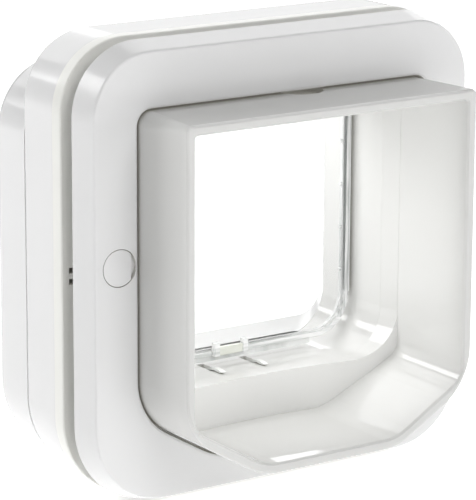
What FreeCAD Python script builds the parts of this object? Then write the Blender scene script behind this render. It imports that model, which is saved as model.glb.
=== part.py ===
import FreeCAD, Part
import math
import os

V = FreeCAD.Vector

# Cat flap for a door panel, all sizes in millimetres.
# X runs to the right seen from outdoors, Y runs from outdoors to indoors, Z is up.
# The shapes are drawn with Y = 0 on the outer frame's front face and Z = 0 on the
# bottom edge, and are moved at the end so that the origin is the middle of the indoor
# unit's face that lies against the door.

# Square outline that the outer frame and the indoor unit share
SIZE = 210.0
HALF = SIZE / 2
TOP_R = 32.0
BOT_R = 40.0
SIDE_BORDER = 26.5
TOP_BORDER = 29.6
LOW_BORDER = 18.3

# Outer frame
FRAME_DEEP = 12.8
FRAME_DRAFT = 3.4
FRAME_EDGE = 1.2
FRAME_WALL = 2.4
RIB_T = 1.6
RIB_SHORT = 1.5
RIB_PITCH = 48.0

# Door gap, indoor unit
DOOR_GAP = 9.4
DOOR_FACE = FRAME_DEEP + DOOR_GAP
BASE_PLATE = 3.0
BASE_DEEP = 7.0
HIGH_DEEP = 24.3
UNIT_DEEP = 57.8
SEAM = DOOR_FACE + BASE_DEEP
STEP_Y = SEAM + HIGH_DEEP
STEP_DROP = 16.0
STEP_TOP = SIZE - STEP_DROP
REAR = DOOR_FACE + UNIT_DEEP
REAR_ROUND = 5.0
REAR_FULL = REAR - REAR_ROUND
BOTTOM_RISE = 7.0
SHELL = 2.4

# Tunnel
REACH = 37.1
MOUTH = -REACH
TUN_HALF = HALF - SIDE_BORDER
TUN_TOP = SIZE - TOP_BORDER
TUN_BOT = LOW_BORDER
TUN_SLOPE = math.radians(30.5)
CHEEK_RISE = 24.2
TUN_KNEE = TUN_BOT + CHEEK_RISE
TUN_R = 30.0
TUN_TOP_R = 6.5
MOUTH_TOP_R = 2.6
TUN_WALL = 4.7
SLIP = 0.6
RECESS_X = 9.5
RECESS_Y = 4.4
RECESS_R = 10.9
RECESS_DEEP = 2.2

# Passage for the animal behind the tunnel mouth
PASS_STEP = 1.5
RISER_H = 21.0
PASS_HALF = TUN_HALF - TUN_WALL - PASS_STEP
PASS_FLOOR = TUN_BOT + TUN_WALL + RISER_H
PASS_TOP = TUN_TOP - TUN_WALL
PASS_R = 22.0
PASS_TOP_R = 5.0
PASS_WALL = 2.6
COLLAR_DEEP = 10.0
PASS_END = REAR - COLLAR_DEEP
RISER_Y = DOOR_FACE + 0.8
RISER_BOW = 12.0
FLARE_SIDE = 5.7
FLARE_LIP = 6.2
FLARE_ROOF = 2.9
FLARE_HALF = PASS_HALF + FLARE_SIDE
FLARE_FLOOR = PASS_FLOOR + FLARE_LIP
FLARE_TOP = PASS_TOP + FLARE_ROOF
FLARE_R = 14.0

# Swinging flap
FLAP_PANEL = 2.6
FLAP_RIM = 5.4
FLAP_RIM_W = 2.4
SEAL_T = 1.1
SEAL_LOW = 2.8
SIDE_GAP = 1.4
FLOOR_GAP = 4.1
ROOF_GAP = 2.6
BARREL_R = 3.6
PIN_R = 1.5
PIN_GRIP = 7.3
RUN_FIT = 0.05
FLAP_FRONT = DOOR_FACE + 23.8
PIVOT_Y = FLAP_FRONT + 1.5
PIVOT_Z = PASS_TOP - ROOF_GAP - BARREL_R
FLAP_HALF = PASS_HALF - SEAL_T - SIDE_GAP
FLAP_BOT = PASS_FLOOR + FLOOR_GAP + SEAL_T
FLAP_R = PASS_R - 3.0
NUB_FIRST = 9.3
NUB_LAST = 27.0
NUB_PITCH = (PIVOT_Z - FLAP_BOT - NUB_FIRST - NUB_LAST) / 4
CATCH_HALF = 9.5
CATCH_H = 6.6
CATCH_DEEP = 2.8
CATCH_WALL = 1.4
CATCH_STEP = 4.2
LUG_W = 3.0

# Latches, their floor slots and their axle
LATCH_X = 12.0
LATCH_T = 2.4
LATCH_Y = FLAP_FRONT + 2.5
LATCH_Z = PASS_FLOOR - 4.0
AXLE_R = 1.2
HUB_R = 2.7
SLOT_SIDE = 0.7
SLOT_FRONT = FLAP_FRONT - 5.6
SLOT_BACK = LATCH_Y + HUB_R + 1.2
BRACKET = 6.0
AXLE_HALF = LATCH_X + BRACKET + 2.5
TAIL = 16.0
GEAR_HALF = 25.5
GEAR_TOP = LATCH_Z - 10.0
GEAR_LOW = SHELL + BOTTOM_RISE + 1.1
GEAR_FRONT = LATCH_Y - 10.5
GEAR_BACK = LATCH_Y + 11.5

# Batteries
CELL_R = 7.25
CELL_LEN = 49.5
CELL_FIT = 0.35
CELL_GAP = 0.6
WELL_HALF = CELL_R + CELL_FIT
WELL_WALL = 1.4
WELL_FLOOR = REAR - SHELL - 4 * CELL_R - CELL_GAP - 1.0
WELL_X = FLARE_HALF + WELL_HALF + WELL_WALL + 2.5
CELL_SEAT = 3.9
LID_LIP = 0.8
LID_FIT = 0.3

# Fixings
CAP_X = TUN_HALF + 10.5
CAP_Z = HALF + 7.5
CAP_R = 8.3
CAP_T = 1.8
NOTCH_R = 6.6
NOTCH_BITE = 1.0
SKIRT = 1.8
LOOSE = 0.3
SCREW_R = 2.4
SCREW_HEAD = 4.6
HEAD_T = 3.6
SEAT_Y = CAP_T + SKIRT + 0.8 + HEAD_T
SCREW_END = WELL_FLOOR - 7.0
POST_R = 4.2
POST_WALL = 1.8
POSTS = ((CAP_X, CAP_Z - 13.0), (HALF - 23.0, BOTTOM_RISE + 21.0))
POST_SPLIT = REAR - 19.8
HEAD_SEAT = POST_SPLIT + 3.8
BITE = 14.2
POST_SCREW = 1.5
POST_HEAD = 3.4
WELL_LOW = CAP_Z + 0.5
WELL_HIGH = WELL_LOW + CELL_LEN + CELL_SEAT + 1.6

# Antenna coils and circuit board round the passage
COIL_GAP = 0.4
COIL_T = 1.6
COIL_W = 5.0
INNER_COIL = REAR - 20.0
COIL_RIB = 1.6
BOARD_Z = PASS_TOP + PASS_WALL + COIL_GAP + COIL_T + 0.3
BOARD_T = 1.6
BOARD_HALF = 56.0
BOARD_FRONT = SEAM + 1.8
BOARD_BACK = REAR - 7.0
CHIPS = ((-8.0, 6.0, 33.0, 19.0, 1.4), (20.0, 30.0, 35.0, 27.0, 1.2), (-34.0, -22.0, 13.0, 7.0, 5.0))
CANS = ((-38.0, 29.0, 4.0, 7.0), (42.0, 13.0, 3.2, 6.0))

# Controls
BUTTON_X = -14.0
LIGHT_X = 14.0
CONTROL_Z = BOARD_Z + 3.8
BUTTON_R = 2.4
LIGHT_R = 1.5
BUTTON_TRAVEL = 1.0
KNOB_R = 12.2
KNOB_Z = BOTTOM_RISE + REAR_ROUND + KNOB_R + 3.3
KNOB_SHAFT = 4.0
DIAL_T = 1.6
DIAL_DEEP = 4.0
CAM_R = KNOB_R - 3.2
CAM_T = 3.0
CAM_Y = REAR - 12.0
BOSS_Y = REAR - 6.6


def corner_wire(corners, y):
    """Closed wire at depth y from corners (x, z, radius), each corner an arc."""
    spans = []
    count = len(corners)
    for i in range(count):
        here = V(corners[i][0], y, corners[i][1])
        back = V(corners[i - 1][0], y, corners[i - 1][1]) - here
        ahead = V(corners[(i + 1) % count][0], y, corners[(i + 1) % count][1]) - here
        radius = corners[i][2]
        half = back.getAngle(ahead) / 2
        back.normalize()
        ahead.normalize()
        inward = back + ahead
        inward.normalize()
        reach = radius / math.tan(half)
        centre = here + inward * (radius / math.sin(half))
        spans.append((here + back * reach, centre - inward * radius, here + ahead * reach))
    edges = []
    for i in range(count):
        start = spans[i - 1][2]
        if start.distanceToPoint(spans[i][0]) > 1e-6:
            edges.append(Part.makeLine(start, spans[i][0]))
        edges.append(Part.Arc(*spans[i]).toShape())
    return Part.Wire(edges)


def prism(corners, y0, y1):
    return Part.Face(corner_wire(corners, y0)).extrude(V(0, y1 - y0, 0))


def stack(sections):
    """Solid with straight sides between (corners, y) sections, front to back."""
    wires = [corner_wire(corners, y) for corners, y in sections]
    solid = Part.makeLoft(wires[:2], True, True)
    for i in range(1, len(wires) - 1):
        solid = solid.fuse(Part.makeLoft(wires[i:i + 2], True, True))
    return solid


def box(x0, x1, y0, y1, z0, z1):
    return Part.makeBox(x1 - x0, y1 - y0, z1 - z0, V(x0, y0, z0))


def rod_y(x, z, r, y0, y1):
    return Part.makeCylinder(r, y1 - y0, V(x, y0, z), V(0, 1, 0))


def rod_x(y, z, r, x0, x1):
    return Part.makeCylinder(r, x1 - x0, V(x0, y, z), V(1, 0, 0))


def rod_z(x, y, r, z0, z1):
    return Part.makeCylinder(r, z1 - z0, V(x, y, z0), V(0, 0, 1))


def fuse_all(shapes):
    return shapes[0].multiFuse(shapes[1:]).removeSplitter()


def cut_all(shape, tools):
    return shape.cut(Part.makeCompound(tools)) if tools else shape


def window(half, low, high, low_r, high_r):
    return [(-half, low, low_r), (half, low, low_r), (half, high, high_r), (-half, high, high_r)]


def frame_outline(inset):
    return window(HALF - inset, inset, SIZE - inset, BOT_R - inset, TOP_R - inset)


def unit_outline(y, inset, top):
    rise = BOTTOM_RISE * (y - DOOR_FACE) / (REAR_FULL - DOOR_FACE)
    return window(HALF - inset, rise + inset, top - inset, BOT_R - inset, TOP_R - inset)


def tunnel_outline(inset, corner=TUN_TOP_R):
    """Tunnel section: upright sides, flat floor, and a sloped, rounded cheek at each side."""
    side = TUN_HALF - inset
    floor = TUN_BOT + inset
    shift = inset / math.cos(TUN_SLOPE)
    knee = TUN_KNEE - math.tan(TUN_SLOPE) * inset + shift
    toe = TUN_HALF - (TUN_KNEE + shift - floor) / math.tan(TUN_SLOPE)
    bend = TUN_R - inset
    top = TUN_TOP - inset
    top_r = max(corner - inset, 1.2)
    return [(-side, knee, bend), (-toe, floor, bend), (toe, floor, bend), (side, knee, bend),
            (side, top, top_r), (-side, top, top_r)]


def passage_outline(out):
    return window(PASS_HALF + out, PASS_FLOOR - out, PASS_TOP + out, PASS_R + out, PASS_TOP_R + out)


# Outer frame: a drafted shell with a collar round the tunnel, ribs and two screw bosses
def make_outer_frame():
    # the front edge is an arc that runs out into the drafted side
    end = math.atan2(FRAME_DEEP, FRAME_DRAFT)
    run_out = FRAME_EDGE * (1 - math.cos(end))
    start = FRAME_DRAFT * (1 - run_out / FRAME_DEEP) + FRAME_EDGE * math.sin(end)
    sections = []
    for i in range(5):
        turn = end * i / 4
        sections.append((frame_outline(start - FRAME_EDGE * math.sin(turn)), FRAME_EDGE * (1 - math.cos(turn))))
    body = stack(sections + [(frame_outline(0.0), FRAME_DEEP)])
    floor_y = FRAME_WALL + 0.2
    hollow = stack([(frame_outline(FRAME_WALL + FRAME_DRAFT), floor_y),
                    (frame_outline(FRAME_WALL), FRAME_DEEP + 0.01)])
    hollow = hollow.cut(prism(tunnel_outline(-SLIP - FRAME_WALL), 0, FRAME_DEEP + 1))
    keep = []
    for side in (-1, 1):
        keep.append(rod_y(side * CAP_X, CAP_Z, CAP_R + 1.9, 0, FRAME_DEEP))
        near, far = side * (TUN_HALF - 2.5), side * (HALF - 1.0)
        for z in (CAP_Z - RIB_PITCH - 4.5, CAP_Z + RIB_PITCH - 0.5):
            keep.append(box(min(near, far), max(near, far), 1.0, FRAME_DEEP - RIB_SHORT,
                            z - RIB_T / 2, z + RIB_T / 2))
    for x in (-RIB_PITCH, 0.0, RIB_PITCH):
        x0, x1 = x - RIB_T / 2, x + RIB_T / 2
        keep.append(box(x0, x1, 1.0, FRAME_DEEP - RIB_SHORT, TUN_TOP - 1.0, SIZE - 1.0))
        keep.append(box(x0, x1, 1.0, FRAME_DEEP - RIB_SHORT, 1.0, TUN_BOT + 14.0))
    hollow = cut_all(hollow, keep)
    body = body.cut(hollow)
    opening = stack([(tunnel_outline(-SLIP - 1.5), -0.01), (tunnel_outline(-SLIP - 0.5), 0.45),
                     (tunnel_outline(-SLIP), 1.5), (tunnel_outline(-SLIP), FRAME_DEEP + 0.1)])
    body = body.cut(opening)
    tools = []
    for side in (-1, 1):
        x = side * CAP_X
        tools += [rod_y(x, CAP_Z, CAP_R + LOOSE, -1, CAP_T), rod_y(x, CAP_Z, SCREW_HEAD + 0.6, 0, SEAT_Y),
                  rod_y(x, CAP_Z, SCREW_R + LOOSE + 0.1, 0, FRAME_DEEP + 1)]
    return cut_all(body, tools)


# Screw caps: flush discs with a skirt and a thumbnail notch on the right edge
def make_cap(side):
    x = side * CAP_X
    disc = rod_y(x, CAP_Z, CAP_R, 0, CAP_T)
    skirt = rod_y(x, CAP_Z, SCREW_HEAD, CAP_T, CAP_T + SKIRT)
    skirt = skirt.cut(rod_y(x, CAP_Z, SCREW_HEAD - 1.0, CAP_T, CAP_T + SKIRT + 1))
    notch = rod_y(x + CAP_R + NOTCH_R - NOTCH_BITE, CAP_Z, NOTCH_R, -1, CAP_T / 2)
    return disc.fuse(skirt).cut(notch)


def cross_slot(x, z, r, y0, y1):
    return [box(x - r, x + r, y0, y1, z - 0.5, z + 0.5), box(x - 0.5, x + 0.5, y0, y1, z - r, z + r)]


def make_fixing_screws():
    screws = []
    for side in (-1, 1):
        x = side * CAP_X
        top = SEAT_Y - HEAD_T
        screw = rod_y(x, CAP_Z, SCREW_HEAD, top, SEAT_Y).fuse(rod_y(x, CAP_Z, SCREW_R, SEAT_Y, SCREW_END))
        screws.append(cut_all(screw, cross_slot(x, CAP_Z, SCREW_HEAD - 2.0, top - 0.1, top + 1.8)))
    return Part.makeCompound(screws)


# Tunnel and door-side base, one moulding
def make_tunnel():
    sleeve = stack([(tunnel_outline(1.2, MOUTH_TOP_R), MOUTH), (tunnel_outline(0.3, MOUTH_TOP_R), MOUTH + 0.4),
                    (tunnel_outline(0.0, MOUTH_TOP_R), MOUTH + 1.3), (tunnel_outline(0.0), 0.0),
                    (tunnel_outline(0.0), DOOR_FACE + 0.5)])
    bore = stack([(tunnel_outline(TUN_WALL - 0.9), MOUTH - 0.01), (tunnel_outline(TUN_WALL), MOUTH + 1.0),
                  (tunnel_outline(TUN_WALL), RISER_Y + 1.0)])
    plate = stack([(unit_outline(DOOR_FACE, 0.5, SIZE), DOOR_FACE),
                   (unit_outline(DOOR_FACE + 0.6, 0.0, SIZE), DOOR_FACE + 0.6),
                   (unit_outline(SEAM, 0.0, SIZE), SEAM)])
    plate = plate.cut(stack([(unit_outline(DOOR_FACE + BASE_PLATE, SHELL, SIZE), DOOR_FACE + BASE_PLATE),
                             (unit_outline(SEAM, SHELL, SIZE), SEAM + 0.01)]))
    # the riser bows towards outdoors at both cheeks, so that it meets the walls softly
    bow_r = (TUN_HALF ** 2 + RISER_BOW ** 2) / (2 * RISER_BOW)
    swept = Part.makeCylinder(bow_r, SIZE, V(0, RISER_Y - bow_r, -1), V(0, 0, 1))
    riser = prism(tunnel_outline(TUN_WALL - 0.4), RISER_Y - RISER_BOW - 7.0, RISER_Y + 0.5).cut(swept)
    tube = prism(passage_outline(PASS_WALL), DOOR_FACE + BASE_PLATE - 0.5, PASS_END)
    rib = prism(passage_outline(PASS_WALL + COIL_GAP + COIL_T + 0.2), INNER_COIL - COIL_RIB, INNER_COIL)
    body = plate.fuse(sleeve).cut(bore).multiFuse([riser, tube, rib])
    body = body.cut(prism(passage_outline(0.0), RISER_Y - RISER_BOW - 7.0, PASS_END + 1))
    # its sides open softly into the tunnel's walls
    wide = corner_wire(window(TUN_HALF - TUN_WALL, PASS_FLOOR, PASS_TOP, PASS_R, PASS_TOP_R), RISER_Y - RISER_BOW)
    narrow = corner_wire(passage_outline(0.0), RISER_Y + 1.0)
    body = body.cut(Part.makeLoft([wide, narrow], True, True))
    extra = []
    for side in (-1, 1):
        extra.append(rod_y(side * CAP_X, CAP_Z, SCREW_R + 3.1, DOOR_FACE + 1, SCREW_END + 3))
        for x, z in POSTS:
            extra.append(rod_y(side * x, z, POST_R, DOOR_FACE + 1, POST_SPLIT))
        x = side * (LATCH_X + BRACKET)
        extra.append(box(x - 1.5, x + 1.5, LATCH_Y - 3.5, LATCH_Y + 3.5, LATCH_Z - HUB_R - 0.9, PASS_FLOOR - 1))
        x = side * (BOARD_HALF - 11.0)
        extra.append(box(x - 2, x + 2, BOARD_FRONT + 1, INNER_COIL - COIL_RIB - 2.4, PASS_TOP + PASS_WALL - 1,
                         BOARD_Z))
        # legs that carry the latch gearbox
        x = side * (GEAR_HALF + 1.5)
        extra.append(box(x - 1.5, x + 1.5, DOOR_FACE + 1, GEAR_BACK, GEAR_LOW + 1.5, GEAR_TOP))
    extra.append(box(-1.5, 1.5, LATCH_Y - 3.5, LATCH_Y + 3.5, LATCH_Z - HUB_R - 0.9, PASS_FLOOR - 1))
    body = body.multiFuse(extra)
    tools = [rod_x(LATCH_Y, LATCH_Z, AXLE_R + RUN_FIT, -AXLE_HALF - 0.5, AXLE_HALF + 0.5)]
    for side in (-1, 1):
        tools.append(rod_y(side * CAP_X, CAP_Z, SCREW_R + RUN_FIT, DOOR_FACE - 1, SCREW_END + 1))
        for x, z in POSTS:
            tools.append(rod_y(side * x, z, POST_SCREW + RUN_FIT, POST_SPLIT - BITE - 2, POST_SPLIT + 1))
        near, far = side * (PASS_HALF - 2), side * (PASS_HALF + PASS_WALL + 5)
        tools.append(rod_x(PIVOT_Y, PIVOT_Z, PIN_R + RUN_FIT, min(near, far), max(near, far)))
        half = LATCH_T / 2 + SLOT_SIDE
        tools.append(box(side * LATCH_X - half, side * LATCH_X + half, SLOT_FRONT, SLOT_BACK,
                         PASS_FLOOR - 4, PASS_FLOOR + 1))
        # two small sight holes in the door face beside each screw boss
        near, far = side * (HALF - 7.4), side * (HALF - 3.7)
        for z in (CAP_Z - 9.2, CAP_Z - 4.1):
            tools.append(box(min(near, far), max(near, far), DOOR_FACE - 1, DOOR_FACE + BASE_PLATE + 1,
                             z - 1.3, z + 1.3))
    # round recess in the top of the tunnel, half under the outer frame
    tools.append(rod_z(RECESS_X, RECESS_Y, RECESS_R, TUN_TOP - RECESS_DEEP, TUN_TOP + 1))
    return cut_all(body, tools)


def well_box(side, grow, y0, y1):
    x = side * WELL_X
    return box(x - WELL_HALF - grow, x + WELL_HALF + grow, y0, y1, WELL_LOW - grow, WELL_HIGH + grow)


# Indoor cover: stepped shell with battery wells, screw posts and the controls' seats
def make_cover():
    def layer(y, inset, top):
        return (unit_outline(y, inset, top), y)

    low = stack([layer(STEP_Y, 0.0, STEP_TOP), layer(REAR_FULL, 0.0, STEP_TOP),
                 layer(REAR_FULL + 2.5, 0.67, STEP_TOP), layer(REAR_FULL + 4.3, 2.5, STEP_TOP),
                 layer(REAR, REAR_ROUND, STEP_TOP)])
    high = stack([layer(SEAM, 0.0, SIZE), layer(STEP_Y - 1.2, 0.0, SIZE), layer(STEP_Y, 0.5, SIZE)])
    shell = high.fuse(low)
    inside = stack([layer(SEAM - 0.01, SHELL, SIZE), layer(STEP_Y - SHELL, SHELL, SIZE)])
    inside = inside.fuse(stack([layer(STEP_Y - SHELL, SHELL, STEP_TOP), layer(REAR_FULL, SHELL, STEP_TOP),
                                layer(REAR - SHELL, SHELL + 2.0, STEP_TOP)]))
    shell = shell.cut(inside)
    collar = prism(window(FLARE_HALF + 1.6, FLARE_FLOOR - 5.0, FLARE_TOP + 1.4, FLARE_R + 2, FLARE_R),
                   PASS_END + 0.4, REAR - 0.5)
    extra = [collar]
    for side in (-1, 1):
        extra.append(well_box(side, WELL_WALL, WELL_FLOOR - WELL_WALL, REAR - SHELL + 0.5))
        for x, z in POSTS:
            extra.append(rod_y(side * x, z, POST_R + POST_WALL, POST_SPLIT, REAR - 0.5))
    extra.append(rod_y(0, KNOB_Z, KNOB_R + 3.0, BOSS_Y, REAR - 0.5))
    shell = shell.multiFuse(extra)
    wide = corner_wire(window(FLARE_HALF, FLARE_FLOOR, FLARE_TOP, FLARE_R, PASS_TOP_R), REAR + 0.01)
    flare = Part.makeLoft([corner_wire(passage_outline(0.0), PASS_END), wide], True, True)
    tools = [flare, rod_y(0, KNOB_Z, KNOB_R + 0.6, REAR - DIAL_DEEP, REAR + 1),
             rod_y(0, KNOB_Z, KNOB_SHAFT + RUN_FIT, BOSS_Y - 1, REAR),
             rod_y(BUTTON_X, CONTROL_Z, BUTTON_R + LOOSE, REAR - SHELL - 1, REAR + 1),
             rod_y(LIGHT_X, CONTROL_Z, LIGHT_R + LOOSE, REAR - SHELL - 1, REAR + 1)]
    for side in (-1, 1):
        tools.append(well_box(side, 0.0, WELL_FLOOR, REAR + 1))
        tools.append(well_box(side, LID_LIP, REAR - SHELL, REAR + 1))
        for x, z in POSTS:
            tools += [rod_y(side * x, z, POST_HEAD + 0.8, HEAD_SEAT, REAR + 1),
                      rod_y(side * x, z, POST_SCREW + 0.4, POST_SPLIT - 1, REAR)]
    return cut_all(shell, tools)


# Clear flap: thin panel with a deep rim, a hinge barrel and a catch box at the bottom
def make_flap():
    outline = window(FLAP_HALF, FLAP_BOT, PIVOT_Z - 1.0, FLAP_R, 2.0)
    inner = window(FLAP_HALF - FLAP_RIM_W, FLAP_BOT + FLAP_RIM_W, PIVOT_Z - 6.0, FLAP_R - FLAP_RIM_W, 2.0)
    body = prism(outline, FLAP_FRONT, FLAP_FRONT + FLAP_RIM)
    body = body.cut(prism(inner, FLAP_FRONT + FLAP_PANEL, FLAP_FRONT + FLAP_RIM + 1))
    parts = [rod_x(PIVOT_Y, PIVOT_Z, BARREL_R, -FLAP_HALF - 1.2, FLAP_HALF + 1.2)]
    catch = box(-CATCH_HALF, CATCH_HALF, FLAP_FRONT - CATCH_DEEP, FLAP_FRONT + 1, FLAP_BOT, FLAP_BOT + CATCH_H)
    parts.append(catch)
    for side in (-1, 1):
        for step in range(5):
            z = FLAP_BOT + NUB_FIRST + NUB_PITCH * step
            x = side * (FLAP_HALF - FLAP_RIM_W)
            parts.append(rod_x(FLAP_FRONT + FLAP_RIM - 1.4, z, 0.9, min(x - side * 1.0, x + side * 0.5),
                               max(x - side * 1.0, x + side * 0.5)))
    body = body.multiFuse(parts)
    tools = [box(-CATCH_HALF + CATCH_WALL + 0.2, CATCH_HALF - CATCH_WALL - 0.2, FLAP_FRONT - CATCH_DEEP + CATCH_WALL,
                 FLAP_FRONT + 0.6, FLAP_BOT - 1, FLAP_BOT + CATCH_STEP - CATCH_WALL),
             box(-CATCH_HALF + LUG_W, CATCH_HALF - LUG_W, FLAP_FRONT - CATCH_DEEP - 1, FLAP_FRONT,
                 FLAP_BOT + CATCH_STEP, FLAP_BOT + CATCH_H + 1)]
    for side in (-1, 1):
        near, far = side * (FLAP_HALF - PIN_GRIP - 0.5), side * (FLAP_HALF + 10.0)
        tools.append(rod_x(PIVOT_Y, PIVOT_Z, PIN_R + RUN_FIT, min(near, far), max(near, far)))
    return cut_all(body, tools)


def make_flap_seal():
    y0, y1 = FLAP_FRONT + 0.8, FLAP_FRONT + FLAP_RIM - 0.4
    strips = []
    low = FLAP_BOT + FLAP_R + 0.5
    for side in (-1, 1):
        a, b = side * FLAP_HALF, side * (FLAP_HALF + SEAL_T)
        strips.append(box(min(a, b), max(a, b), y0, y1, low, PIVOT_Z - 11.5))
    end = FLAP_HALF - FLAP_R - 2.8
    strips.append(box(-end, end, y0 + 0.6, y1, FLAP_BOT - SEAL_LOW, FLAP_BOT))
    return Part.makeCompound(strips)


def make_flap_pins():
    ends = PASS_HALF + PASS_WALL - 0.3
    near = FLAP_HALF - PIN_GRIP
    return Part.makeCompound([rod_x(PIVOT_Y, PIVOT_Z, PIN_R, min(side * near, side * ends),
                                    max(side * near, side * ends)) for side in (-1, 1)])


# Latch: a claw over the ledge, a hub on the axle and a tail down into the gearbox
def make_latch(side):
    x0 = side * LATCH_X - LATCH_T / 2

    def over(back, up):
        return V(x0, FLAP_FRONT - back, PASS_FLOOR + up)

    nose = [V(x0, LATCH_Y - 0.2, LATCH_Z + HUB_R - 0.2), over(2.6, 0.7), over(5.6, 1.6), over(9.8, 1.8),
            over(13.8, 1.1), over(9.6, 0.6), over(5.2, 0.2), over(3.0, -2.0),
            V(x0, LATCH_Y - 2.2, LATCH_Z - 1.4)]
    spline = Part.BSplineCurve()
    spline.interpolate(nose[1:5])
    under = Part.BSplineCurve()
    under.interpolate(nose[4:8])
    edges = [Part.makeLine(nose[0], nose[1]), spline.toShape(), under.toShape(),
             Part.makeLine(nose[7], nose[8]), Part.makeLine(nose[8], nose[0])]
    claw = Part.Face(Part.Wire(edges)).extrude(V(LATCH_T, 0, 0))
    hub = rod_x(LATCH_Y, LATCH_Z, HUB_R, x0 - 0.6, x0 + LATCH_T + 0.6)
    tail = box(x0, x0 + LATCH_T, LATCH_Y - 1.3, LATCH_Y + 1.3, LATCH_Z - TAIL, LATCH_Z)
    body = fuse_all([claw, hub, tail])
    return body.cut(rod_x(LATCH_Y, LATCH_Z, AXLE_R + RUN_FIT, x0 - 2, x0 + LATCH_T + 2))


def make_latch_axle():
    return rod_x(LATCH_Y, LATCH_Z, AXLE_R, -AXLE_HALF, AXLE_HALF)


# Closed geared motor unit between two legs, with a slot for each latch's tail
def make_gearbox():
    case = box(-GEAR_HALF, GEAR_HALF, GEAR_FRONT, GEAR_BACK, GEAR_LOW, GEAR_TOP)
    case = case.makeFillet(2.0, [e for e in case.Edges
                                 if e.BoundBox.ZMax < GEAR_LOW + 0.5 and e.BoundBox.XLength > 1])
    can = rod_y(0, GEAR_LOW + 9.5, 6.0, GEAR_FRONT - 7.0, GEAR_FRONT + 1.0)
    body = case.fuse(can)
    half = LATCH_T / 2 + SLOT_SIDE + 0.1
    tools = [box(side * LATCH_X - half, side * LATCH_X + half, LATCH_Y - 9.1, LATCH_Y + 2.7,
                 LATCH_Z - TAIL - 4.0, GEAR_TOP + 1.0) for side in (-1, 1)]
    return cut_all(body, tools)


def coil(y0, y1):
    ring = prism(passage_outline(PASS_WALL + COIL_GAP + COIL_T), y0, y1)
    return ring.cut(prism(passage_outline(PASS_WALL + COIL_GAP), y0 - 1, y1 + 1))


# Circuit board lying on the passage roof, with its parts and the push switch
def make_board():
    top = BOARD_Z + BOARD_T
    board = box(-BOARD_HALF, BOARD_HALF, BOARD_FRONT, BOARD_BACK, BOARD_Z, top)
    low = top - 0.1

    def chip(x0, x1, far, near, high):
        return box(x0, x1, BOARD_BACK - far, BOARD_BACK - near, low, top + high)

    parts = [chip(BUTTON_X - 3.0, BUTTON_X + 3.0, 4.8, 0.4, 4.4),
             rod_y(BUTTON_X, CONTROL_Z, 1.0, BOARD_BACK - 0.6, BOARD_BACK + 0.3),
             chip(LIGHT_X - 1.5, LIGHT_X + 1.5, 2.2, 0.0, 3.2)]
    parts += [chip(*sizes) for sizes in CHIPS]
    parts += [rod_z(x, BOARD_BACK - back, r, low, top + high) for x, back, r, high in CANS]
    return fuse_all([board] + parts)


def make_cells():
    cells = []
    for side in (-1, 1):
        for row in range(2):
            y = WELL_FLOOR + CELL_R + 0.75 + row * (2 * CELL_R + CELL_GAP)
            low = WELL_LOW + CELL_SEAT
            cell = rod_z(side * WELL_X, y, CELL_R, low, low + CELL_LEN)
            cells.append(cell.fuse(rod_z(side * WELL_X, y, 2.7, low + CELL_LEN, low + CELL_LEN + 1.0)))
    return Part.makeCompound(cells)


def make_contacts():
    parts = []
    for side in (-1, 1):
        x = side * WELL_X
        y0, y1 = WELL_FLOOR + 0.5, REAR - SHELL - 1.1
        low = box(x - 6.0, x + 6.0, y0, y1, WELL_LOW, WELL_LOW + 0.5)
        for row in range(2):
            y = WELL_FLOOR + CELL_R + 0.75 + row * (2 * CELL_R + CELL_GAP)
            low = low.fuse(Part.makeCone(4.2, 2.2, CELL_SEAT - 0.5, V(x, y, WELL_LOW + 0.5), V(0, 0, 1)))
        parts.append(low)
        parts.append(box(x - 6.0, x + 6.0, y0, y1, WELL_LOW + CELL_SEAT + CELL_LEN + 1.0, WELL_HIGH))
    return Part.makeCompound(parts)


def make_lid(side):
    x = side * WELL_X
    grow = LID_LIP - LID_FIT
    lid = box(x - WELL_HALF - grow, x + WELL_HALF + grow, REAR - SHELL, REAR,
              WELL_LOW - grow, WELL_HIGH + grow)
    lid = lid.makeChamfer(0.4, [e for e in lid.Edges if e.BoundBox.YMin > REAR - 0.01])
    rib = box(x - 4.0, x + 4.0, REAR - SHELL - 0.2, REAR - SHELL, WELL_LOW + 2, WELL_HIGH - 2)
    thumb = Part.makeCylinder(8.0, 9.0, V(x - 4.5, REAR + 6.9, WELL_HIGH - 6.0), V(1, 0, 0))
    return lid.fuse(rib).cut(thumb)


def make_button():
    cap = rod_y(BUTTON_X, CONTROL_Z, BUTTON_R, REAR - SHELL - 0.5, REAR - 0.2)
    flange = rod_y(BUTTON_X, CONTROL_Z, BUTTON_R + 1.0, REAR - SHELL - 1.3, REAR - SHELL)
    stem = rod_y(BUTTON_X, CONTROL_Z, 1.2, BOARD_BACK + 0.5 + BUTTON_TRAVEL, REAR - SHELL - 0.5)
    return fuse_all([cap, flange, stem])


def make_light():
    pipe = rod_y(LIGHT_X, CONTROL_Z, LIGHT_R, BOARD_BACK + 0.4, REAR - 0.1)
    flange = rod_y(LIGHT_X, CONTROL_Z, LIGHT_R + 0.9, REAR - SHELL - 1.2, REAR - SHELL)
    return pipe.fuse(flange)


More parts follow.
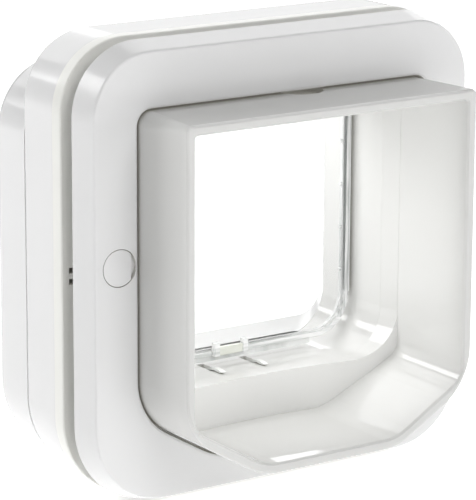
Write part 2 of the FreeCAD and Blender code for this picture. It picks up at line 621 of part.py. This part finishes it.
# Lock knob: round dial with a grip bar and a shaft that carries the detent cam
def make_knob():
    back = REAR - DIAL_DEEP
    face = back + DIAL_T
    dial = rod_y(0, KNOB_Z, KNOB_R, back, face)
    grip = box(-2.6, 2.6, face - 0.2, REAR, KNOB_Z - KNOB_R + 1.2, KNOB_Z + KNOB_R - 1.2)
    grip = grip.common(Part.makeCone(KNOB_R - 0.2, KNOB_R - 1.8, 3.0, V(0, face - 0.4, KNOB_Z), V(0, 1, 0)))
    shaft = rod_y(0, KNOB_Z, KNOB_SHAFT, CAM_Y - 2.0, back + 0.5)
    flat = box(-3.0, 3.0, CAM_Y - 3.0, CAM_Y - 2.0, KNOB_Z - 2.0, KNOB_Z + 2.0)
    return fuse_all([dial, grip, shaft, flat])


def make_cam():
    disc = rod_y(0, KNOB_Z, CAM_R, CAM_Y, CAM_Y + CAM_T)
    notches = []
    for turn in range(4):
        a = math.radians(90 * turn)
        out = CAM_R + 1.4
        notches.append(rod_y(out * math.cos(a), KNOB_Z + out * math.sin(a), 2.6, CAM_Y - 1, CAM_Y + CAM_T + 1))
    return cut_all(disc, notches + [rod_y(0, KNOB_Z, KNOB_SHAFT + RUN_FIT, CAM_Y - 1, CAM_Y + CAM_T + 1)])


# Leaf spring on a foot of the cover, its bump in one of the cam's notches
def make_detent():
    foot = box(CAM_R + 3.6, CAM_R + 5.2, CAM_Y - 1.5, BOSS_Y, KNOB_Z - 6.0, KNOB_Z + 6.0)
    bump = rod_y(CAM_R + 1.9, KNOB_Z, 1.9, CAM_Y + 0.3, CAM_Y + CAM_T - 0.3)
    return fuse_all([foot, bump])


def make_housing_screws():
    screws = []
    for side in (-1, 1):
        for x, z in POSTS:
            screw = rod_y(side * x, z, POST_SCREW, POST_SPLIT - BITE, HEAD_SEAT)
            screw = screw.fuse(rod_y(side * x, z, POST_HEAD, HEAD_SEAT, HEAD_SEAT + 2.4))
            screws.append(cut_all(screw, cross_slot(side * x, z, POST_HEAD - 1.5, HEAD_SEAT + 1.0, HEAD_SEAT + 3)))
    return Part.makeCompound(screws)


nodes = {
    "outer_frame": make_outer_frame(),
    "screw_cap_left": make_cap(-1),
    "screw_cap_right": make_cap(1),
    "fixing_screws": make_fixing_screws(),
    "tunnel_moulding": make_tunnel(),
    "indoor_cover": make_cover(),
    "flap": make_flap(),
    "flap_seal": make_flap_seal(),
    "flap_pins": make_flap_pins(),
    "latch_left": make_latch(-1),
    "latch_right": make_latch(1),
    "latch_axle": make_latch_axle(),
    "latch_gearbox": make_gearbox(),
    "outer_antenna_coil": coil(DOOR_FACE + BASE_PLATE, DOOR_FACE + BASE_PLATE + COIL_W),
    "inner_antenna_coil": coil(INNER_COIL, INNER_COIL + COIL_W),
    "circuit_board": make_board(),
    "battery_cells": make_cells(),
    "battery_contacts": make_contacts(),
    "battery_cover_left": make_lid(-1),
    "battery_cover_right": make_lid(1),
    "settings_button": make_button(),
    "status_light": make_light(),
    "lock_knob": make_knob(),
    "lock_cam": make_cam(),
    "detent_spring": make_detent(),
    "housing_screws": make_housing_screws(),
}

# Move the origin to the middle of the indoor door face and save one file per node
os.makedirs("parts", exist_ok=True)
for name, shape in nodes.items():
    shape.translate(V(0, -DOOR_FACE, -HALF))
    shape.exportStep("parts/" + name + ".step")
    bounds = shape.BoundBox
    print(name, "valid", shape.isValid(), "solids", len(shape.Solids), "volume", round(shape.Volume),
          "X", round(bounds.XMin, 2), round(bounds.XMax, 2), "Y", round(bounds.YMin, 2), round(bounds.YMax, 2),
          "Z", round(bounds.ZMin, 2), round(bounds.ZMax, 2))
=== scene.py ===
import math

import bmesh
import bpy
from mathutils import Matrix, Vector


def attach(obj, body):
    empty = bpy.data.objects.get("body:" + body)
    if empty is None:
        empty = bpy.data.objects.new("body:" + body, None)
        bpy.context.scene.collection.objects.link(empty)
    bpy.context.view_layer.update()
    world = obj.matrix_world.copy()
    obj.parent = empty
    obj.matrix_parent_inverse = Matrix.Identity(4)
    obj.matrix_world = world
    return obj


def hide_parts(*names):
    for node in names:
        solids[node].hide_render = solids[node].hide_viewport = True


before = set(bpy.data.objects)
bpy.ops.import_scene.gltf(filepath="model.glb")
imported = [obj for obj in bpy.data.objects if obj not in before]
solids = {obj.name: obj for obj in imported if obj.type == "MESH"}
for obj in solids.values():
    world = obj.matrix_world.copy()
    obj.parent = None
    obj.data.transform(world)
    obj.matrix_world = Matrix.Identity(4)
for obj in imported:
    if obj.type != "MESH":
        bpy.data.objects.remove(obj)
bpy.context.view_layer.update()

# The model's origin is on the indoor door face, level with the middle of the square units.
# The lengths below are in millimetres from the outer frame's front face and bottom edge.
MM = 0.001
DOOR_FACE = 22.2
HALF = 105.0


def place(x, y, z):
    """A point given from the front face and bottom edge, in metres in the model's frame."""
    return Vector((x * MM, (y - DOOR_FACE) * MM, (z - HALF) * MM))


# Colours and materials
def paint(hexed):
    """An sRGB hex colour as linear values with full alpha."""
    parts = [int(hexed[i:i + 2], 16) / 255 for i in (1, 3, 5)]
    return tuple(c / 12.92 if c <= 0.04045 else ((c + 0.055) / 1.055) ** 2.4 for c in parts) + (1.0,)


def add_node(tree, kind, settings=None, links=None):
    """Adds one node, sets its properties and sockets, and links its inputs."""
    made = tree.nodes.new(kind)
    for key, value in (settings or {}).items():
        if isinstance(key, str) and hasattr(made, key) and key not in made.inputs:
            setattr(made, key, value)
        else:
            made.inputs[key].default_value = value
    for key, source in (links or {}).items():
        tree.links.new(source, made.inputs[key])
    return made


def start_material(name):
    material = bpy.data.materials.new(name)
    material.use_nodes = True
    tree = material.node_tree
    tree.nodes.clear()
    return material, tree


def moulded(name, light, shade, roughness, spread, grain_mm, grain_lift, painted_joint_shade=None, flow_mm=60.0, glow=0.0):
    """Moulded plastic: faint colour drift from the flow of the melt, a fine eroded grain, and, if asked, painted shade
    in narrow joints and a painted glow in deep gaps.
    """
    material, tree = start_material(name)
    spot = add_node(tree, "ShaderNodeTexCoord").outputs["Object"]
    drift = add_node(tree, "ShaderNodeTexNoise", {"Scale": 1000.0 / flow_mm, "Detail": 2.0}, {"Vector": spot})
    tone = add_node(tree, "ShaderNodeMix", {"data_type": "RGBA", 6: paint(shade), 7: paint(light)},
                    {0: drift.outputs["Fac"]})
    grain = add_node(tree, "ShaderNodeTexNoise", {"Scale": 1000.0 / grain_mm, "Detail": 3.0}, {"Vector": spot})
    sheen = add_node(tree, "ShaderNodeMapRange", {"From Min": 0.3, "From Max": 0.7, "To Min": roughness - spread,
                                                  "To Max": roughness + spread}, {"Value": grain.outputs["Fac"]})
    lift = add_node(tree, "ShaderNodeBump", {"Strength": grain_lift, "Distance": 0.0001},
                    {"Height": grain.outputs["Fac"]})
    colour = tone.outputs[2]
    if painted_joint_shade:
        # painted shade: an ambient-occlusion mask darkens narrow joints between mouldings towards the given colour,
        # which a corner in the open doesn't get
        corner = add_node(tree, "ShaderNodeAmbientOcclusion", {"samples": 6, "Distance": 0.004})
        painted_shade_mask = add_node(tree, "ShaderNodeMapRange", {"From Min": 0.08, "From Max": 0.5},
                            {"Value": corner.outputs["AO"]})
        colour = add_node(tree, "ShaderNodeMix", {"data_type": "RGBA", 6: paint(painted_joint_shade)},
                          {0: painted_shade_mask.outputs["Result"], 7: tone.outputs[2]}).outputs[2]
    skin = add_node(tree, "ShaderNodeBsdfPrincipled", {"IOR": 1.5, "Emission Color": paint("#FFFFFF"),
                                                       "Emission Strength": glow},
                    {"Base Color": colour, "Roughness": sheen.outputs["Result"], "Normal": lift.outputs["Normal"]})
    if painted_joint_shade:
        # painted light: deep gaps glow faintly with a warm emission driven by an ambient-occlusion mask, which keeps
        # them from going black
        deep = add_node(tree, "ShaderNodeAmbientOcclusion", {"samples": 6, "Distance": 0.012})
        painted_gap_glow = add_node(tree, "ShaderNodeMapRange", {"From Min": 0.05, "From Max": 0.5, "To Min": 0.07, "To Max": 0.0},
                         {"Value": deep.outputs["AO"]})
        skin.inputs["Emission Color"].default_value = paint("#F4F0E4")
        tree.links.new(painted_gap_glow.outputs["Result"], skin.inputs["Emission Strength"])
    add_node(tree, "ShaderNodeOutputMaterial", None, {"Surface": skin.outputs["BSDF"]})
    return material


def clear_plastic(name, tint, roughness, streak_mm, streak_lift):
    """Clear plastic with faint waves in its faces, so that edges and rims catch the light."""
    material, tree = start_material(name)
    spot = add_node(tree, "ShaderNodeTexCoord").outputs["Object"]
    wave = add_node(tree, "ShaderNodeTexNoise", {"Scale": 1000.0 / streak_mm, "Detail": 2.0}, {"Vector": spot})
    sheen = add_node(tree, "ShaderNodeMapRange", {"To Min": roughness, "To Max": roughness + 0.06},
                     {"Value": wave.outputs["Fac"]})
    lift = add_node(tree, "ShaderNodeBump", {"Strength": streak_lift, "Distance": 0.0002},
                    {"Height": wave.outputs["Fac"]})
    skin = add_node(tree, "ShaderNodeBsdfPrincipled",
                    {"Base Color": paint(tint), "IOR": 1.49, "Transmission Weight": 1.0},
                    {"Roughness": sheen.outputs["Result"], "Normal": lift.outputs["Normal"]})
    add_node(tree, "ShaderNodeOutputMaterial", None, {"Surface": skin.outputs["BSDF"]})
    return material


def clear_rim(name, light, shade, roughness, streak_mm, along, solid):
    """Thick clear plastic seen edge on, drawn milky, with painted light and dark streaks along the rim that stand in
    for the light the clear plastic bends.
    """
    material, tree = start_material(name)
    spot = add_node(tree, "ShaderNodeTexCoord").outputs["Object"]
    drawn = add_node(tree, "ShaderNodeMapping", {"Scale": along}, {"Vector": spot})
    wave = add_node(tree, "ShaderNodeTexNoise", {"Scale": 1000.0 / streak_mm, "Detail": 3.0},
                    {"Vector": drawn.outputs["Vector"]})
    sharp = add_node(tree, "ShaderNodeMapRange", {"From Min": 0.35, "From Max": 0.6}, {"Value": wave.outputs["Fac"]})
    tone = add_node(tree, "ShaderNodeMix", {"data_type": "RGBA", 6: paint(shade), 7: paint(light)},
                    {0: sharp.outputs["Result"]})
    lift = add_node(tree, "ShaderNodeBump", {"Strength": 0.5, "Distance": 0.0002}, {"Height": wave.outputs["Fac"]})
    skin = add_node(tree, "ShaderNodeBsdfPrincipled", {"IOR": 1.49, "Alpha": solid, "Roughness": roughness},
                    {"Base Color": tone.outputs[2], "Normal": lift.outputs["Normal"]})
    add_node(tree, "ShaderNodeOutputMaterial", None, {"Surface": skin.outputs["BSDF"]})
    return material


def metal(name, light, shade, roughness, grain_mm):
    """Drawn or plated metal with a fine change of gloss along the grain."""
    material, tree = start_material(name)
    spot = add_node(tree, "ShaderNodeTexCoord").outputs["Object"]
    grain = add_node(tree, "ShaderNodeTexNoise", {"Scale": 1000.0 / grain_mm, "Detail": 3.0}, {"Vector": spot})
    tone = add_node(tree, "ShaderNodeMix", {"data_type": "RGBA", 6: paint(shade), 7: paint(light)},
                    {0: grain.outputs["Fac"]})
    sheen = add_node(tree, "ShaderNodeMapRange", {"To Min": roughness - 0.06, "To Max": roughness + 0.08},
                     {"Value": grain.outputs["Fac"]})
    skin = add_node(tree, "ShaderNodeBsdfPrincipled", {"Metallic": 1.0},
                    {"Base Color": tone.outputs[2], "Roughness": sheen.outputs["Result"]})
    add_node(tree, "ShaderNodeOutputMaterial", None, {"Surface": skin.outputs["BSDF"]})
    return material


# 6F6C60, given to the three white mouldings below, is the painted shade of their narrow joints
# satin white ABS from an eroded mould: soft wide highlights on the outer frame and caps
satin_abs = moulded("satin_white_abs_moulded", "#F1F1F1", "#EEEEEE", 0.16, 0.02, 0.5, 0.02, "#6F6C60")
# polished white ABS: the tunnel's walls mirror the mouth's light in a blurred way
polished_abs = moulded("polished_white_abs_moulded", "#E0E0DE", "#DCDCDA", 0.025, 0.005, 0.8, 0.0, "#6F6C60")
# the base plate round the door's hole, eroded where no paw touches it: duller, and painted lighter than the tunnel's
# walls, a painted light that keeps the door gap light
eroded_lightened_abs = moulded("eroded_lightened_white_abs_moulded", "#F8F8F3", "#F4F4EF", 0.35, 0.03, 0.5, 0.03, "#6F6C60")
# indoor cover, the same white with a little more sheen
cover_abs = moulded("sheen_white_abs_moulded", "#F2F2F2", "#EFEFEF", 0.14, 0.02, 0.5, 0.02)
# natural acetal, milky and slightly waxy, for the latch claws
latch_acetal = moulded("natural_acetal_moulded", "#F1F2F0", "#E4E6E3", 0.25, 0.04, 0.6, 0.03)
# dark glass-filled nylon: dull, with a coarse grain, inside only
filled_nylon = moulded("dark_filled_nylon_moulded", "#2B2C2E", "#222325", 0.55, 0.05, 0.7, 0.2)
# pale grey ABS of the indoor controls
control_abs = moulded("pale_grey_abs_moulded", "#D5D8DA", "#CDD0D2", 0.34, 0.03, 0.5, 0.05)
# clear polycarbonate, clean and bright
clear_sheet = clear_rim("clear_polycarbonate_moulded", "#FBFDFC", "#F2F6F5", 0.03, 14.0, (1.0, 1.0, 0.3), 0.04)
# softer clear vinyl of the edge seals, hazier and slightly grey
clear_vinyl = clear_rim("clear_vinyl_extruded", "#FCFDFC", "#D5D8D6", 0.2, 2.0, (0.2, 1.0, 0.05), 0.7)
# the flap's thick clear rim, seen edge on, drawn milky: its bright and grey streaks are painted light and shade, and
# the level rim is a copy painted lighter than the upright one
rim_upright = clear_rim("clear_polycarbonate_rim_upright", "#FFFFFF", "#BEC2C1", 0.1, 1.6, (1.0, 1.0, 0.05), 0.75)
rim_level = clear_rim("clear_polycarbonate_rim_level", "#FFFFFF", "#D8DBD9", 0.1, 1.6, (0.05, 1.0, 1.0), 0.75)
# between the catch box's lugs the same plastic is thick enough to look faintly green
catch_clear = clear_rim("clear_polycarbonate_thick", "#E9EBE2", "#DCDED2", 0.12, 4.0, (0.2, 1.0, 1.0), 0.85)
# tinted acrylic of the light pipe
red_acrylic = clear_plastic("red_acrylic_turned", "#D84A3A", 0.05, 8.0, 0.1)
# zinc-plated screws and drawn pins: bright with a fine grain
zinc_steel = metal("zinc_plated_steel_rolled", "#C9CACC", "#B9BBBE", 0.3, 0.4)
# nickel-plated spring strip
nickel_strip = metal("nickel_plated_strip_pressed", "#D6D4CC", "#C6C4BB", 0.24, 0.5)
# enamelled copper of the coils, with the wire's layers as fine bands
copper_coil = metal("enamelled_copper_wound", "#B4663A", "#93502B", 0.38, 0.6)
# green solder mask over laminate
board_mask = moulded("green_solder_mask_cured", "#1E6B3E", "#19592F", 0.3, 0.05, 1.2, 0.2)
# printed sleeve of the cells, bare of any print
cell_sleeve = moulded("dark_shrink_sleeve_shrunk", "#3C424B", "#30353D", 0.35, 0.04, 1.0, 0.05)

finishes = {
    "outer_frame": satin_abs, "screw_cap_left": satin_abs, "screw_cap_right": satin_abs,
    "fixing_screws": zinc_steel, "tunnel_moulding": polished_abs, "indoor_cover": cover_abs,
    "flap": clear_sheet, "flap_seal": clear_vinyl, "flap_pins": zinc_steel,
    "latch_left": latch_acetal, "latch_right": latch_acetal, "latch_axle": zinc_steel,
    "latch_gearbox": filled_nylon, "outer_antenna_coil": copper_coil, "inner_antenna_coil": copper_coil,
    "circuit_board": board_mask, "battery_cells": cell_sleeve, "battery_contacts": nickel_strip,
    "battery_cover_left": cover_abs, "battery_cover_right": cover_abs, "settings_button": control_abs,
    "status_light": red_acrylic, "lock_knob": control_abs, "lock_cam": filled_nylon,
    "detent_spring": nickel_strip, "housing_screws": zinc_steel,
}
for node_name, finish in finishes.items():
    mesh = solids[node_name].data
    mesh.materials.clear()
    mesh.materials.append(finish)

# Flap: the swinging clear moulding, modelled again with its own edges, pegs and catch box
FLAP_FRONT = 46.0
FLAP_HALF = 69.8
FLAP_LOW = 49.2
PIVOT_Z = 169.5
PIVOT_Y = 47.5


def add_block(shape, low, high):
    """A closed block between two corners given in millimetres."""
    a, b = place(*low), place(*high)
    stretch = Matrix.Diagonal((b.x - a.x, b.y - a.y, b.z - a.z, 1.0))
    made = bmesh.ops.create_cube(shape, size=1.0, matrix=Matrix.Translation((a + b) / 2) @ stretch)
    return made["verts"]


def add_rod(shape, middle, radius, length, segments):
    """A closed rod along X with its middle at a point in millimetres."""
    lay = Matrix.Translation(place(*middle)) @ Matrix.Rotation(math.pi / 2, 4, "Y")
    made = bmesh.ops.create_cone(shape, cap_ends=True, segments=segments, radius1=radius * MM,
                                 radius2=radius * MM, depth=length * MM, matrix=lay)
    return made["verts"]


def soften(shape, verts, width, steps=3, least=35.0):
    """Rounds the sharp edges among some vertices."""
    chosen = set(verts)
    sharp = [e for e in shape.edges if e.verts[0] in chosen and e.verts[1] in chosen
             and e.calc_face_angle(0.0) > math.radians(least)]
    bmesh.ops.bevel(shape, geom=sharp, offset=width * MM, offset_type="OFFSET", segments=steps, profile=0.5,
                    affect="EDGES", clamp_overlap=True, material=-1)


def keep_piece(name, shape, materials, body, stands_for=(), least=30.0):
    """Turns the shape into an object that rides on a body."""
    bmesh.ops.recalc_face_normals(shape, faces=shape.faces)
    for face in shape.faces:
        face.smooth = True
    mesh = bpy.data.meshes.new(name)
    shape.to_mesh(mesh)
    shape.free()
    mesh.set_sharp_from_angle(angle=math.radians(least))
    for material in materials:
        mesh.materials.append(material)
    made = bpy.data.objects.new(name, mesh)
    bpy.context.scene.collection.objects.link(made)
    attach(made, body)
    if stands_for:
        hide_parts(*stands_for)
    return made


CAP_X = 89.0
CAP_Z = 112.5


def model_cap(side, name):
    """Flush disc on a skirt, cut straight on its right so that a thumbnail can lift it."""
    shape = bmesh.new()
    lay = Matrix.Rotation(math.pi / 2, 4, "X")
    bmesh.ops.create_cone(shape, cap_ends=True, segments=72, radius1=8.25 * MM, radius2=8.25 * MM, depth=1.75 * MM,
                          matrix=Matrix.Translation(place(side * CAP_X, 0.9, CAP_Z)) @ lay)
    cut = bmesh.ops.bisect_plane(shape, geom=shape.verts[:] + shape.edges[:] + shape.faces[:],
                                 plane_co=place(side * CAP_X + 6.0, 0, 0), plane_no=(1, 0, 0), clear_outer=True)
    bmesh.ops.contextual_create(shape, geom=[e for e in cut["geom_cut"] if isinstance(e, bmesh.types.BMEdge)])
    soften(shape, shape.verts, 0.3, 3, 40.0)
    bmesh.ops.create_cone(shape, cap_ends=True, segments=48, radius1=4.6 * MM, radius2=4.6 * MM, depth=1.8 * MM,
                          matrix=Matrix.Translation(place(side * CAP_X, 2.7, CAP_Z)) @ lay)
    keep_piece(name.replace("screw_cap", "cap_disc"), shape, [satin_abs], "door_unit", (name,))


def model_flap():
    shape = bmesh.new()
    rim, deep, corner = 2.4, 5.4, 19.0
    slab = add_block(shape, (-FLAP_HALF, FLAP_FRONT, FLAP_LOW), (FLAP_HALF, FLAP_FRONT + deep, PIVOT_Z - 1.0))
    half_way = place(0, 0, 110.0).z
    low = [e for e in shape.edges if abs(e.verts[0].co.y - e.verts[1].co.y) > 4 * MM and e.verts[0].co.z < half_way]
    bmesh.ops.bevel(shape, geom=low, offset=corner * MM, offset_type="OFFSET", segments=14, profile=0.5,
                    affect="EDGES", material=-1)
    shape.normal_update()
    front = min(shape.faces, key=lambda f: f.normal.y)
    back = max(shape.faces, key=lambda f: f.normal.y)
    for face in shape.faces:
        face.material_index = 1
    bmesh.ops.inset_region(shape, faces=[front], thickness=rim * MM)
    front.material_index = 0
    bmesh.ops.inset_region(shape, faces=[back], thickness=rim * MM)
    bmesh.ops.inset_region(shape, faces=[back], thickness=0.2 * MM, depth=(2.6 - deep) * MM)
    back.material_index = 0
    soften(shape, shape.verts[:], 0.45, 3, 50.0)
    # faces of the rim near the bottom, and the pegs and lugs added below, take the rim copy that is painted lighter
    level = place(0, 0, FLAP_LOW + 8.0).z
    for face in shape.faces:
        if face.material_index == 1 and face.calc_center_median().z < level:
            face.material_index = 2
    kept = set(shape.faces)
    soften(shape, add_rod(shape, (0.0, PIVOT_Y, PIVOT_Z), 3.6, 2 * FLAP_HALF + 2.4, 40), 0.4, 2)
    for side in (-1, 1):
        for step in range(5):
            soften(shape, add_rod(shape, (side * (FLAP_HALF - rim - 0.25), FLAP_FRONT + deep - 1.4,
                                          FLAP_LOW + 9.3 + 21.0 * step), 0.95, 1.5, 14), 0.35, 2)
        soften(shape, add_block(shape, (side * 8.0 - 1.5, FLAP_FRONT - 2.8, FLAP_LOW),
                                (side * 8.0 + 1.5, FLAP_FRONT + 0.2, FLAP_LOW + 6.6)), 0.4)
    for face in shape.faces:
        if face not in kept:
            face.material_index = 2
    kept = set(shape.faces)
    soften(shape, add_block(shape, (-6.6, FLAP_FRONT - 2.3, FLAP_LOW + 0.2),
                            (6.6, FLAP_FRONT + 0.2, FLAP_LOW + 4.2)), 0.3)
    for face in shape.faces:
        if face not in kept:
            face.material_index = 3
    keep_piece("flap_moulding", shape, [clear_sheet, rim_upright, rim_level, catch_clear], "swing_flap", ("flap",))


# Tunnel: a merged copy of the moulding, with the tight inner bends and the unbroken walls of the real one
WALL_X = 73.8
BEND_CENTRE = (48.5, 59.65)
BEND_R = 25.3
TIGHT_CENTRE = (63.8, 50.906)
TIGHT_R = 10.0
BEND_TURN = math.radians(59.5)
BEND_STEP = BEND_TURN / 10
BOW_MIDDLE = -239.76
BOW_R = 262.7
RISER_BACK = 23.5
BASE_FRONT = 24.0
MOUTH_FRONT = -37.1
MOUTH_FLARE = 0.9
STEP_X = 73.63
PLATE_INNER = 79.0
PLATE_TOP = 180.5
PLATE_LOW = 18.0


def bow_depth(x):
    """Depth of the riser's bowed front at a distance from the middle."""
    return BOW_MIDDLE + math.sqrt(BOW_R ** 2 - x ** 2)


def bend_angle(x, y, z):
    """Where a point lies along the walls' wide bottom bend, as an angle and the flare's extra radius, or None."""
    out, down = abs(x) - BEND_CENTRE[0], BEND_CENTRE[1] - z
    flare = MOUTH_FLARE if y < MOUTH_FRONT + 0.05 else 0.0
    turned = math.atan2(down, out)
    if y > DOOR_FACE or abs(math.hypot(out, down) - BEND_R - flare) > 0.08 or not 0.01 < turned < BEND_TURN - 0.01:
        return None
    # the first and last points on the wide bend become the ends of the tight one
    return (turned - BEND_STEP) * BEND_TURN / (BEND_TURN - 2 * BEND_STEP), flare


def model_tunnel():
    cast = solids["tunnel_moulding"].data
    shape = bmesh.new()
    shape.from_mesh(cast)
    # the moulding's own surface normals are carried over
    carried = shape.loops.layers.float_vector.new("carried_normal")
    for face in shape.faces:
        for corner in face.loops:
            corner[carried] = cast.corner_normals[corner.index].vector
    bmesh.ops.remove_doubles(shape, verts=shape.verts, dist=0.001 * MM)
    piece = keep_piece("tunnel_walls", shape, [polished_abs, eroded_lightened_abs], "door_unit", ("tunnel_moulding",))
    mesh = piece.data
    normals = [Vector(value.vector) for value in mesh.attributes["carried_normal"].data]
    mesh.attributes.remove(mesh.attributes["carried_normal"])
    spots = [(v.co.x / MM, v.co.y / MM + DOOR_FACE, v.co.z / MM + HALF) for v in mesh.vertices]
    bends = [bend_angle(*spot) for spot in spots]
    # the base plate's faces take the duller copy that is painted lighter, so that the door gap stays light
    for face in mesh.polygons:
        middle = face.center
        beside = abs(middle.x) > PLATE_INNER * MM
        if middle.y > -MM and (beside or not place(0, 0, PLATE_LOW).z < middle.z < place(0, 0, PLATE_TOP).z):
            face.material_index = 1
    # normals turn with the tight bend
    for corner, loop in enumerate(mesh.loops):
        bend = bends[loop.vertex_index]
        if bend and abs(normals[corner].y) < 0.05:
            inwards = -math.copysign(math.cos(bend[0]), spots[loop.vertex_index][0])
            normals[corner] = Vector((inwards, 0.0, math.sin(bend[0])))
    for vert, (x, y, z), bend in zip(mesh.vertices, spots, bends):
        if bend:
            on_bow = abs(y - bow_depth(x)) < 0.05
            reach = TIGHT_R + bend[1]
            x = math.copysign(TIGHT_CENTRE[0] + reach * math.cos(bend[0]), x)
            z = TIGHT_CENTRE[1] - reach * math.sin(bend[0])
            y = bow_depth(x) if on_bow else y
        elif abs(y - RISER_BACK) < 0.01:
            y = BASE_FRONT - 0.005
        elif abs(abs(x) - STEP_X) < 0.02 and abs(y - bow_depth(x)) < 0.03:
            x = math.copysign(WALL_X - 0.01, x)
        vert.co = place(x, y, z)
    mesh.normals_split_custom_set(normals)


model_cap(-1, "screw_cap_left")
model_cap(1, "screw_cap_right")
model_flap()
model_tunnel()

# Camera at the photograph's viewpoint
camera_data = bpy.data.cameras.new("camera")
camera_data.sensor_width = 36.0
camera_data.lens = 2875.5 / 500 * 36.0
camera_data.clip_start = 0.05
camera_data.clip_end = 20.0
camera = bpy.data.objects.new("camera", camera_data)
bpy.context.scene.collection.objects.link(camera)
turn, tip, roll = math.radians(34.599), math.radians(14.002), math.radians(0.261)
ahead = Vector((math.sin(turn) * math.cos(tip), math.cos(turn) * math.cos(tip), -math.sin(tip)))
side = Vector((math.cos(turn), -math.sin(turn), 0.0))
above = side.cross(ahead)
right = side * math.cos(roll) + above * math.sin(roll)
upward = above * math.cos(roll) - side * math.sin(roll)
spin = Matrix((right, upward, -ahead)).transposed().to_4x4()
camera.matrix_world = Matrix.Translation(place(-734.0, -1025.5, 422.9)) @ spin
bpy.context.scene.camera = camera

# Pale floor under the part, and soft studio light
floor_mesh = bpy.data.meshes.new("floor")
floor_shape = bmesh.new()
bmesh.ops.create_grid(floor_shape, x_segments=1, y_segments=1, size=8.0)
bmesh.ops.translate(floor_shape, vec=Vector((0, 0, -HALF * MM - 0.0005)), verts=floor_shape.verts)
floor_shape.to_mesh(floor_mesh)
floor_shape.free()
floor = bpy.data.objects.new("floor", floor_mesh)
# opal acrylic light table: glows evenly from below, so that undersides stay light and shadows are faint
floor_mesh.materials.append(moulded("opal_acrylic_cast", "#F6F6F6", "#F4F4F4", 0.6, 0.02, 2.0, 0.0, glow=0.56))
bpy.context.scene.collection.objects.link(floor)


def softbox(name, at, towards, wide, high, power, gloss=True, spread=True):
    lamp = bpy.data.lights.new(name, "AREA")
    lamp.shape = "RECTANGLE"
    lamp.size, lamp.size_y = wide, high
    lamp.energy = power
    made = bpy.data.objects.new(name, lamp)
    made.location = Vector(at)
    made.rotation_euler = (Vector(towards) - Vector(at)).to_track_quat("-Z", "Y").to_euler()
    made.visible_camera = False
    made.visible_glossy = gloss
    made.visible_diffuse = spread
    bpy.context.scene.collection.objects.link(made)


softbox("key_box", (0.0, -1.5, 1.2), (0, 0, 0), 1.2, 1.2, 15.0)
softbox("top_box", (0.0, 0.0, 1.9), (0, 0, 0), 1.4, 1.4, 3.8)
softbox("right_box", (1.7, -0.9, 0.15), (0, 0, 0), 0.9, 0.9, 7.5)
softbox("back_right_box", (1.7, 0.9, 0.4), (0, 0, 0), 1.2, 1.2, 4.5)
softbox("top_left_box", (-1.2, 1.2, 1.0), (0, 0, 0), 1.0, 1.0, 17.5)
softbox("gloss_card", (0.4, 1.5, 1.1), (0, 0, 0), 2.2, 1.3, 15.5, True, False)
softbox("low_gloss_card", (1.15, 1.6, 0.5), (0, 0, 0), 1.4, 0.9, 4.2, True, False)
softbox("through_box", (0.0, 0.044, 0.066), (0, 0.044, 0), 0.10, 0.02, 0.037, False)
softbox("mouth_box", (0.0, -0.062, -0.002), (0.0, 0, -0.004), 0.12, 0.12, 0.041, False)

# Studio room: a bright sweep rises behind the part, the rest of the room is dark
world = bpy.data.worlds.new("studio")
world.use_nodes = True
room = world.node_tree
aim = add_node(room, "ShaderNodeTexCoord").outputs["Generated"]
toward = add_node(room, "ShaderNodeVectorMath", {"operation": "DOT_PRODUCT", 1: (-0.101, -0.857, -0.504)}, {0: aim})
fall = add_node(room, "ShaderNodeMapRange", {"interpolation_type": "SMOOTHSTEP", "From Min": -0.75, "From Max": -0.3,
                                             "To Min": 0.18, "To Max": 0.02}, {"Value": toward.outputs["Value"]})
room.links.new(fall.outputs["Result"], room.nodes["Background"].inputs["Strength"])
room.nodes["Background"].inputs["Color"].default_value = (1.0, 1.0, 1.0, 1.0)
bpy.context.scene.world = world
bpy.context.scene.view_settings.view_transform = "Standard"
